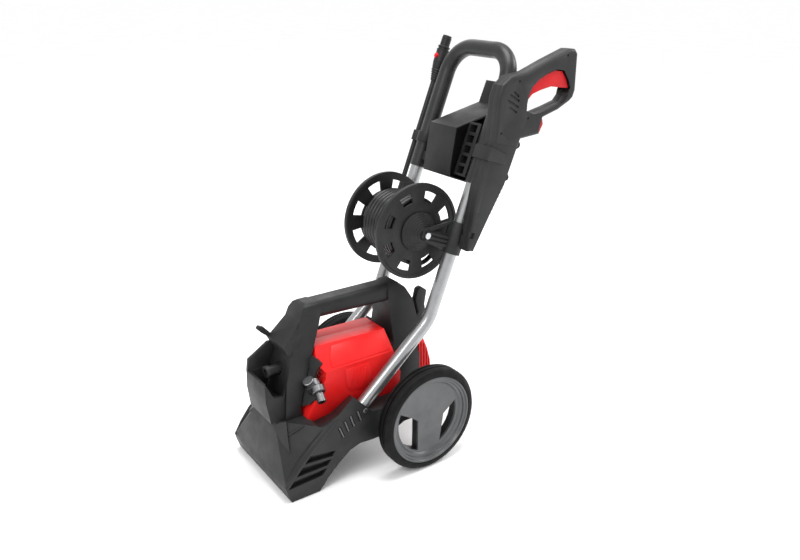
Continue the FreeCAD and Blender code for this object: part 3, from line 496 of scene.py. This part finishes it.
def make_hose():
    """Two layers of turns on the drum, then CLIMB (X, radius, angle) up to the coupling."""
    pitch, inner, outer, travel = 11.15, 56.5, 67.5, 51.5
    per_turn = 16
    turns = 2 * travel / pitch
    steps = round(turns * per_turn)
    half_turn = per_turn // 2
    last = math.radians(-100)
    start = last - 4 * turns * math.pi
    points = []
    for i in range(steps + 1):
        points.append((travel - 2 * travel * i / steps, inner, start + turns * 2 * math.pi * i / steps))
    for i in range(1, steps + 1):
        rise = (1 - math.cos(math.pi * min(i / half_turn, 1))) / 2
        radius = inner + (outer - inner) * rise
        angle = start + turns * 2 * math.pi * (1 + i / steps)
        points.append((-travel + 2 * travel * i / steps, radius, angle))
    for x, radius, angle in CLIMB:
        points.append((x, radius, math.radians(angle)))
    route = []
    for x, radius, angle in points:
        out = BACK * (radius / INSIDE * math.cos(angle)) + UP * (radius / INSIDE * math.sin(angle))
        route.append(REEL + (ACROSS * x + out) * MM)
    route += COUPLING
    curve = bpy.data.curves.new("hose", "CURVE")
    curve.dimensions = "3D"
    line = curve.splines.new("NURBS")
    line.points.add(len(route) - 1)
    for point, place in zip(line.points, route):
        point.co = (*place, 1)
    line.order_u = 3
    line.use_endpoint_u = True
    line.resolution_u = 4
    curve.bevel_depth = HOSE_DIAMETER / 2
    curve.bevel_resolution = 5
    curve.use_fill_caps = True
    curve.materials.append(MATERIALS["hose_rubber"])
    hose = bpy.data.objects.new("hose", curve)
    bpy.context.collection.objects.link(hose)
    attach(hose, "reel")
    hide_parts("hose_coil")


# ---------------------------------------------------------------- mouldings

FIN_TOPS = [(-150, 163), (-168, 157), (-182, 149), (-196, 139)]
FIN_FEET = [(-142, 139), (-159, 130), (-173, 123), (-186, 113)]
FIN_FACE, FIN_DEEP = 127.5, 8
GROOVES = [(68.5, 237), (76.5, 232), (84.5, 214), (91.5, 192)]       # Y of each groove and its top's height
GROOVE_FACE, GROOVE_DEEP = 58, 2.2
GUN_SLOTS = [
    ((-24, 516), (-6, 511)), ((-31, 508), (-1, 503)), ((-32, 495.5), (2, 491)), ((-23, 484), (2, 480)),
]
GUN_WINDOW = [(-15, 216), (-1.5, 216), (-1.5, 204), (-12, 201)]
GUN_STEP = [(-60, 150), (60, 150), (60, 418), (-60, 404)]
GUN_OUTSIDE = {"left": (164, -1), "right": (118, 1)}    # X just off each face of the gun, and the way in
SLOT_DEEP, WINDOW_DEEP, STEP_DEEP = 8, 13, 6.6
ROUNDING = (
    ("carry_handle", 0.007), ("nose_cowl", 0.003), ("cable_hook", 0.004),
    ("housing_left", 0.003), ("housing_right", 0.003),
    ("accessory_box", 0.0018), ("nozzle_rack", 0.0012), ("gun_holder", 0.0012), ("lance_clip", 0.0012),
    ("reel_bracket_left", 0.0015), ("reel_bracket_right", 0.0015), ("trigger", 0.003),
    ("reel_flange_left", 0.0008), ("reel_flange_right", 0.0008), ("rim_left", 0.0012), ("rim_right", 0.0012),
)


def strip(low, high, wide):
    """The outline of a straight slot between two points."""
    a, b = Vector(low), Vector(high)
    off = (b - a).orthogonal().normalized() * wide / 2
    return [tuple(a + off), tuple(b + off), tuple(b - off), tuple(a - off)]


def side_cutters(name, outlines, face, depth):
    """Pockets of a depth in the side faces at X = face and X = -face."""
    made = []
    for _, sign in SIDES:
        for index, outline in enumerate(outlines):
            low, high = sorted((sign * (face - depth), sign * (face + 3)))
            made.append(cutter(f"{name}_{sign}_{index}", outline, low, high, axle_at))
    return made


def gun_cutters(side):
    """Vent slots, the dark window and the thinner lower stretch on one face of the gun."""
    start, inward = GUN_OUTSIDE[side]
    jobs = [(f"gun_slot_{side}_{k}", strip(*ends, 4.5), SLOT_DEEP) for k, ends in enumerate(GUN_SLOTS)]
    jobs += [(f"gun_window_{side}", GUN_WINDOW, WINDOW_DEEP), (f"gun_step_{side}", GUN_STEP, STEP_DEEP)]
    made = []
    for name, outline, deep in jobs:
        low, high = sorted((start, start + inward * deep))
        made.append(cutter(name, outline, low, high, lean_at))
    return made


def make_mouldings():
    """Rounded stand-ins for the moulded CAD nodes, with their slots and grooves."""
    fins = [strip(low, high, 7.5) for low, high in zip(FIN_FEET, FIN_TOPS)]
    soften("base_shell", 0.004, side_cutters("fin", fins, FIN_FACE, FIN_DEEP))
    grooves = [strip((y, 160), (y - 1, top), 3.4) for y, top in GROOVES]
    soften("motor_rear_cover", 0.002, side_cutters("groove", grooves, GROOVE_FACE, GROOVE_DEEP))
    for side, _ in SIDES:
        soften(f"gun_shell_{side}", 0.0009, gun_cutters(side))
    for node, width in ROUNDING:
        soften(node, width)
    soften("lance_tube", 0.0003, slot="black_plastic")
    soften("gun_screws", 0.0003, slot="black_plastic")


# ---------------------------------------------------------------- detail shapes

def mirrored(meshes, name):
    """Meshes and their mirror images across the middle plane, as one mesh."""
    work = bmesh.new()
    for mesh in meshes:
        work.from_mesh(mesh)
    both = bmesh.ops.duplicate(work, geom=work.verts[:] + work.edges[:] + work.faces[:])
    for vert in both["geom"]:
        if isinstance(vert, bmesh.types.BMVert):
            vert.co.x = -vert.co.x
    faces = [face for face in both["geom"] if isinstance(face, bmesh.types.BMFace)]
    bmesh.ops.reverse_faces(work, faces=faces)
    out = bpy.data.meshes.new(name)
    work.to_mesh(out)
    work.free()
    smooth(out, 40)
    return out


def screw_head(name, centre, axis, radius, tall):
    """A domed head with a round socket."""
    profile = [
        (radius, 0), (radius, tall * 0.5), (radius * 0.8, tall), (radius * 0.45, tall),
        (radius * 0.4, tall * 0.3), (0.01, tall * 0.3),
    ]
    return revolve(name, profile, centre, axis, 28)


def rod(name, points, radii):
    """A round bar through points, its ring planes holding the X axis."""
    count = 16
    sections = []
    for k, point in enumerate(points):
        ahead = points[min(k + 1, len(points) - 1)] - points[max(k - 1, 0)]
        other = ahead.normalized().cross(ACROSS).normalized()
        ring = []
        for i in range(count):
            turn = 2 * math.pi * i / count
            ring.append(point + (ACROSS * math.cos(turn) + other * math.sin(turn)) * radii[k] * MM)
        sections.append(ring)
    mesh = ring_mesh(name, sections)
    smooth(mesh, 50)
    return mesh


def arc(radius, first, last, count):
    """Points along an arc about the origin, by its end angles in degrees."""
    angles = [math.radians(first + (last - first) * k / (count - 1)) for k in range(count)]
    return [(radius * math.cos(angle), radius * math.sin(angle)) for angle in angles]


def slope_at(lift, y, down):
    """A place on the housing's sloped edge: lift off it, Y from the axle, distance down from its top."""
    top_x, top_z, out, up = 37, 288, 0.661, 0.750
    return axle_at(top_x + out * down + up * lift, y, top_z - up * down + out * lift)


# ---------------------------------------------------------------- details

HOUSING_PANEL = [(-160, 5), (-28, 5), (-28, 51), (-176, 51), (-173, 30)]
HOUSING_STEP = [(-146, 238), (-84, 236), (-80, 190), (-98, 178), (-136, 182), (-144, 196)]
COVER_EDGE = [
    (38, 276), (56, 272), (70, 266), (63, 253), (61, 239), (65, 225), (76, 220), (84, 213), (84, 199),
    (68, 179), (42, 163), (36, 198), (34, 256),
]
COVER_OUT = Vector((0.325, -0.894, 0.309))
ELBOW, ELBOW_AIM = (66.0, -220.5, 212.2), (0.62, -0.70, -0.2)
ELBOW_SIDE = [
    (6, -16), (12.5, -13), (15, -7), (15.4, 0), (14.4, 6), (11.5, 9.5), (7.5, 10.5), (7, 9), (0.02, 9),
]
COLLAR, COLLAR_AIM = (56.0, -224.8, 225.3), (0.1, -0.5, 0.85)
COLLAR_SIDE = [(7.5, 0), (11.5, 0), (12.2, 1), (12.2, 5), (11.5, 6), (7.5, 6)]
KEEL = [(44, -307, 143), (74, -304, 116), (98, -298, 100), (78, -290, 129), (62, -284, 152)]
KEEL_LIFT = (4, 6, 2, 6, 4)
KEEL_OUT = Vector((0.555, -0.620, 0.555))
FOOT, FOOT_RADII = [(78, -290, 129), (85, -275, 139), (92, -260, 149)], [3.2, 3, 2]
CREASE_X = 123.8
CREASE = [(-196, 160), (-214, 151), (-233, 136), (-258, 114.5), (-282, 91.5), (-304, 65), (-323, 38)]
CREASE_RADII = [4, 7, 8.4, 8.8, 8.6, 7.6, 5.5]
BOLT = (127.2, -130.2, 158.1)
FRONT_WINDOW = [(-41, 11), (-26.5, -1), (-27, -73)] + arc(79, -112, -203, 12)
REAR_WINDOW = [(43, -5), (33, -70)] + arc(78, -64, 15, 10)
WINDOW_OUTSIDE, WINDOW_INSIDE = 171.5, 154.5
LANCE_X = -143


def make_housing_details():
    """The raised panel on the slope of the red housing, and the step and ribs on its side."""
    meshes = [
        plate("panel", HOUSING_PANEL, -1.0, 1.8, slope_at, 0.001),
        plate("step", HOUSING_STEP, 73.0, 75.4, axle_at, 0.001),
    ]
    for k in range(3):
        y = -128 + 16 * k
        meshes.append(plate(f"rib_{k}", strip((y, 228), (y - 3, 192), 4), 75.0, 76.6, axle_at, 0.0006))
    link("housing_panels", mirrored(meshes, "housing_panels"), "chassis", "red_plastic")


def make_front_cover():
    """The dark cover beside the column, on a leaning plane, and the outlet's elbow and collar."""
    outline = [axle_at(x, 0.364 * x + 0.346 * z - 317, z) for x, z in COVER_EDGE]
    back = [point - COVER_OUT * 0.004 for point in outline]
    front = [point + COVER_OUT * 0.0028 for point in outline]
    link("front_cover", ring_mesh("front_cover", [back, front]), "chassis", "black_plastic")
    elbow = revolve("outlet_elbow", ELBOW_SIDE, axle_at(*ELBOW), ELBOW_AIM, 40)
    link("outlet_elbow", elbow, "chassis", "black_plastic")
    collar = revolve("outlet_collar", COLLAR_SIDE, axle_at(*COLLAR), COLLAR_AIM, 40)
    link("outlet_collar", collar, "chassis", "steel")


def make_base_details():
    """Rounded beam on each crease of the base, keel under the nose, socket fins and bolts; the fins are in
    lighter grey as a painted highlight.
    """
    beam = rod("beam", [axle_at(CREASE_X, y, z) for y, z in CREASE], CREASE_RADII)
    fins = []
    for k, (foot, top) in enumerate(zip(FIN_FEET, FIN_TOPS)):
        fins.append(plate(f"fin_{k}", strip(foot, top, 3.8), 119, 129.0, axle_at, 0.0008))
    link("base_beams", mirrored([beam], "base_beams"), "chassis", "black_plastic")
    # The fins take the lighter grey rim plastic: a painted highlight on the ridges.
    link("socket_fins_painted_highlight", mirrored(fins, "socket_fins_painted_highlight"), "chassis", "rim_plastic")
    edge = [axle_at(*point) for point in KEEL]
    lifted = [point + KEEL_OUT * lift * MM for point, lift in zip(edge, KEEL_LIFT)]
    keel = ring_mesh("keel", [[point - KEEL_OUT * 0.006 for point in edge], lifted])
    foot = rod("foot", [axle_at(*point) for point in FOOT], FOOT_RADII)
    link("nose_keel", mirrored([keel, foot], "nose_keel"), "chassis", "black_plastic")
    bolts = []
    x, y, z = BOLT
    for side, sign in SIDES:
        bolts.append(screw_head(f"bolt_{side}", axle_at(sign * x, y, z), ACROSS * sign, 5.6, 2.2))
    link("socket_bolts", join_meshes("socket_bolts", bolts), "chassis", "dark_metal")


def window_wall(outline, sign):
    """The wall round one window of a rim, 2 mm thick, from its outer to its inner side."""
    middle = sum((Vector(point) for point in outline), Vector((0, 0))) / len(outline)
    sections = [
        (WINDOW_OUTSIDE, 0.4), (WINDOW_INSIDE, 0.4), (WINDOW_INSIDE, 2.4), (WINDOW_OUTSIDE, 2.4),
        (WINDOW_OUTSIDE, 0.4),
    ]
    rings = []
    for x, grow in sections:
        ring = []
        for point in outline:
            out = (Vector(point) - middle).normalized() * grow
            ring.append(axle_at(sign * x, point[0] + out.x, WHEEL_RADIUS + point[1] + out.y))
        rings.append(ring)
    return ring_mesh("wall", rings, closed_ends=False)


def make_wheel_details():
    """Walls round the windows of each rim, in black plastic darker than the rim: painted shade in the
    windows.
    """
    for side, sign in SIDES:
        walls = [window_wall(outline, sign) for outline in (FRONT_WINDOW, REAR_WINDOW)]
        name = f"window_walls_painted_shade_{side}"
        # Black plastic on the walls, darker than the grey rim, is painted shade in the deep windows.
        link(name, join_meshes(name, walls), f"wheel_{side}", "black_plastic")


def make_reel_details():
    """Fine rings on the cone of each flange."""
    for side, sign in SIDES:
        rings = []
        for k in range(6):
            x, radius = 69 + 3.4 * k, 41.4 - 4.43 * k
            profile = [(radius - 3, x), (radius + 0.4, x), (radius - 0.6, x + 0.9), (radius - 4, x + 0.9)]
            rings.append(revolve(f"cone_{k}", profile, REEL, ACROSS * sign, 64))
        link(f"cone_rings_{side}", join_meshes(f"cone_rings_{side}", rings), "reel", "black_plastic")


def make_gun_details():
    """Ridges on the rear edge of the gun."""
    ridges = []
    for k in range(7):
        u = 262 + 9.6 * k
        v = 23.2 + (u - 260) * 0.18
        outline = [(v, u), (v + 4.4, u + 1.6), (v + 4.8, u + 5.2), (v, u + 7.0)]
        ridges.append(plate(f"ridge_{k}", outline, 129, 153, lean_at, 0.0008))
    link("gun_ridges", join_meshes("gun_ridges", ridges), "gun", "gun_plastic")


def make_lance_details():
    """Ribbed neck, knurled rings and the domed red button."""
    centre = lean_at(LANCE_X, 3, 0)
    rings = []
    for k in range(5):
        low = 517 + 5.2 * k
        radius = 8.6 + 1.1 * k
        profile = [
            (6.2, low), (radius, low + 0.4), (radius + 0.6, low + 1.6), (radius, low + 2.8), (6.2, low + 3.2),
        ]
        rings.append(revolve(f"neck_{k}", profile, centre, UP, 40))
    link("lance_neck_rings", join_meshes("lance_neck_rings", rings), "lance", "black_plastic")
    ribs = []
    for k in range(4):
        low = 600 + 4.6 * k
        profile = [(9.5, low), (11.6, low + 0.5), (11.6, low + 2.2), (9.5, low + 2.7)]
        ribs.append(revolve(f"tip_{k}", profile, centre, UP, 40))
    link("lance_tip_rings", join_meshes("lance_tip_rings", ribs), "nozzle", "black_plastic")
    profile = [(6, 0), (6, 5.2), (5.2, 6.6), (3.4, 7.5), (1.4, 7.9), (0.02, 8.0)]
    dome = revolve("button_dome", profile, lean_at(LANCE_X, -7.5, 571), -BACK, 32)
    piece = link("lance_button_dome", dome, "button", "red_trim")
    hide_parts("lance_button")


def make_details():
    """Every detail piece."""
    make_housing_details()
    make_front_cover()
    make_base_details()
    make_wheel_details()
    make_reel_details()
    make_gun_details()
    make_lance_details()


# ---------------------------------------------------------------- main

SLOT_OF = {item["node"]: item["material_slot"] for item in frame["record"]["subparts"]}
BODY_OF = {node: body for body, names in frame["record"]["behaviour"]["bodies"].items() for node in names}
MATERIALS = make_materials()


def paint_nodes():
    """Give every CAD node the material of its slot."""
    for name, node in nodes.items():
        node.data.materials.clear()
        node.data.materials.append(MATERIALS[SLOT_OF[name]])


paint_nodes()
make_camera()
make_studio()
make_hose()

make_mouldings()
make_details()
